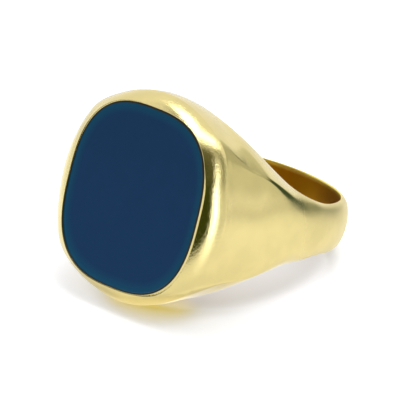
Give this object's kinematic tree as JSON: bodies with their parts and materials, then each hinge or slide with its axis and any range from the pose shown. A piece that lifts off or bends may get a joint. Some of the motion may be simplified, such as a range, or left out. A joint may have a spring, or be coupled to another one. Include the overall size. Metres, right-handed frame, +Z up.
{
  "type": "signet ring",
  "caption": "Finger ring of yellow gold with a tapering shank, a broad rimmed head and a flat dark blue cushion-shaped signet stone, resting on its side.",
  "frame": {"origin": "centre of the finger bore", "axes": "+Z up from the table that the ring lies on, -Y the way the stone faces, +X across the finger. The ring rests on its side, on the lower edge of its head and the back of its shank, so the bore's axis leans back from +Z by 18.3 degrees towards +Y, and the stone's face looks along -Y and up by 18.3 degrees. X = 0 is the plane of symmetry."},
  "size_m": [0.0212, 0.0253, 0.0174],
  "materials": {
    "gold_body": "polished",
    "gold_rim": "polished",
    "gold_plate": "satin",
    "cement": "matte",
    "stone": "polished"
  },
  "bodies": {
    "root": {"ring_body": "gold_body", "bezel_rim": "gold_rim", "seat_plate": "gold_plate", "setting_cement": "cement", "stone": "stone"}
  },
  "joints": []
}
